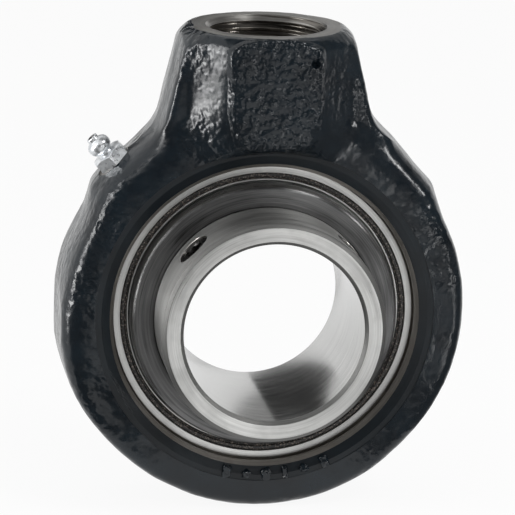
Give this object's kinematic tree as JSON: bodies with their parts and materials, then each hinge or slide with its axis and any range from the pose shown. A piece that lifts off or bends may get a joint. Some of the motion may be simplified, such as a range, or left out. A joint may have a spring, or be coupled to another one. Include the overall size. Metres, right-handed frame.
{
  "type": "hanger bearing unit",
  "caption": "Ball bearing insert held by its spherical outer ring in a cast ring housing, with a threaded pipe boss on top, set screws and a grease nipple.",
  "frame": {"origin": "centre of the spherical seat, on the shaft axis", "axes": "-Y along the shaft towards the long end of the inner ring, +Z towards the threaded boss, +X to the right seen from the long end"},
  "size_m": [0.1128, 0.0551, 0.1351],
  "materials": {
    "cast_housing": "gloss dark blue-grey enamel over sand-cast iron",
    "zinc_steel": "bright zinc-plated steel",
    "ball_steel": "polished bearing steel",
    "spring_steel": "drawn spring wire",
    "ring_steel": "ground bearing steel",
    "seal_steel": "pressed sheet steel",
    "seal_rubber": "black nitrile rubber",
    "flinger_steel": "dark pressed sheet steel",
    "black_steel": "black oxide steel",
    "cage_steel": "pressed sheet steel"
  },
  "bodies": {
    "housing": {"housing": "cast_housing", "nipple_body": "zinc_steel", "nipple_spring": "spring_steel"},
    "insert": {"outer_ring": "ring_steel", "front_seal_plate": "seal_steel", "front_seal_rubber": "seal_rubber", "rear_seal_plate": "seal_steel", "rear_seal_rubber": "seal_rubber"},
    "shaft_ring": {"inner_ring": "ring_steel", "front_flinger": "flinger_steel", "rear_flinger": "flinger_steel"},
    "set_screw_left": {"set_screw_left": "black_steel"},
    "set_screw_right": {"set_screw_right": "black_steel"},
    "cage": {"cage_front": "cage_steel", "cage_rear": "cage_steel", "cage_rivets": "cage_steel"},
    "nipple_ball": {"nipple_ball": "ball_steel"},
    "ball_01": {"ball_01": "ball_steel"},
    "ball_02": {"ball_02": "ball_steel"},
    "ball_03": {"ball_03": "ball_steel"},
    "ball_04": {"ball_04": "ball_steel"},
    "ball_05": {"ball_05": "ball_steel"},
    "ball_06": {"ball_06": "ball_steel"},
    "ball_07": {"ball_07": "ball_steel"},
    "ball_08": {"ball_08": "ball_steel"},
    "ball_09": {"ball_09": "ball_steel"},
    "ball_10": {"ball_10": "ball_steel"}
  },
  "joints": [
    {"name": "insert_tilt", "type": "hinge", "parent": "housing", "child": "insert", "pos_m": [0, 0, 0], "axis": [1, 0, 0], "range_deg": [-2, 2]},
    {"name": "shaft_spin", "type": "hinge", "parent": "insert", "child": "shaft_ring", "pos_m": [0, 0, 0], "axis": [0, 1, 0], "continuous": true},
    {"name": "cage_orbit", "type": "hinge", "parent": "insert", "child": "cage", "pos_m": [0, 0, 0], "axis": [0, 1, 0], "continuous": true},
    {"name": "ball_01_roll", "type": "hinge", "parent": "cage", "child": "ball_01", "pos_m": [0.035, 0, 0], "axis": [0, 1, 0], "continuous": true},
    {"name": "ball_02_roll", "type": "hinge", "parent": "cage", "child": "ball_02", "pos_m": [0.02832, 0, 0.02057], "axis": [0, 1, 0], "continuous": true},
    {"name": "ball_03_roll", "type": "hinge", "parent": "cage", "child": "ball_03", "pos_m": [0.01082, 0, 0.03329], "axis": [0, 1, 0], "continuous": true},
    {"name": "ball_04_roll", "type": "hinge", "parent": "cage", "child": "ball_04", "pos_m": [-0.01082, 0, 0.03329], "axis": [0, 1, 0], "continuous": true},
    {"name": "ball_05_roll", "type": "hinge", "parent": "cage", "child": "ball_05", "pos_m": [-0.02832, 0, 0.02057], "axis": [0, 1, 0], "continuous": true},
    {"name": "ball_06_roll", "type": "hinge", "parent": "cage", "child": "ball_06", "pos_m": [-0.035, 0, 0], "axis": [0, 1, 0], "continuous": true},
    {"name": "ball_07_roll", "type": "hinge", "parent": "cage", "child": "ball_07", "pos_m": [-0.02832, 0, -0.02057], "axis": [0, 1, 0], "continuous": true},
    {"name": "ball_08_roll", "type": "hinge", "parent": "cage", "child": "ball_08", "pos_m": [-0.01082, 0, -0.03329], "axis": [0, 1, 0], "continuous": true},
    {"name": "ball_09_roll", "type": "hinge", "parent": "cage", "child": "ball_09", "pos_m": [0.01082, 0, -0.03329], "axis": [0, 1, 0], "continuous": true},
    {"name": "ball_10_roll", "type": "hinge", "parent": "cage", "child": "ball_10", "pos_m": [0.02832, 0, -0.02057], "axis": [0, 1, 0], "continuous": true},
    {"name": "set_screw_left_travel", "type": "slide", "parent": "shaft_ring", "child": "set_screw_left", "axis": [0.7071, 0, -0.7071], "range_m": [-0.003, 0.002]},
    {"name": "set_screw_right_travel", "type": "slide", "parent": "shaft_ring", "child": "set_screw_right", "axis": [-0.7071, 0, -0.7071], "range_m": [-0.003, 0.002]},
    {"name": "nipple_valve", "type": "slide", "parent": "housing", "child": "nipple_ball", "axis": [0.7071, 0, -0.7071], "range_m": [0, 0.0008], "stiffness_N_per_m": 150, "springref_m": -0.001, "deforming": ["nipple_spring"]}
  ],
  "couplings": [
    {"joint": "cage_orbit", "follows": "shaft_spin", "ratio": 0.40929},
    {"joint": "ball_01_roll", "follows": "shaft_spin", "ratio": -2.6652},
    {"joint": "ball_02_roll", "follows": "shaft_spin", "ratio": -2.6652},
    {"joint": "ball_03_roll", "follows": "shaft_spin", "ratio": -2.6652},
    {"joint": "ball_04_roll", "follows": "shaft_spin", "ratio": -2.6652},
    {"joint": "ball_05_roll", "follows": "shaft_spin", "ratio": -2.6652},
    {"joint": "ball_06_roll", "follows": "shaft_spin", "ratio": -2.6652},
    {"joint": "ball_07_roll", "follows": "shaft_spin", "ratio": -2.6652},
    {"joint": "ball_08_roll", "follows": "shaft_spin", "ratio": -2.6652},
    {"joint": "ball_09_roll", "follows": "shaft_spin", "ratio": -2.6652},
    {"joint": "ball_10_roll", "follows": "shaft_spin", "ratio": -2.6652}
  ]
}
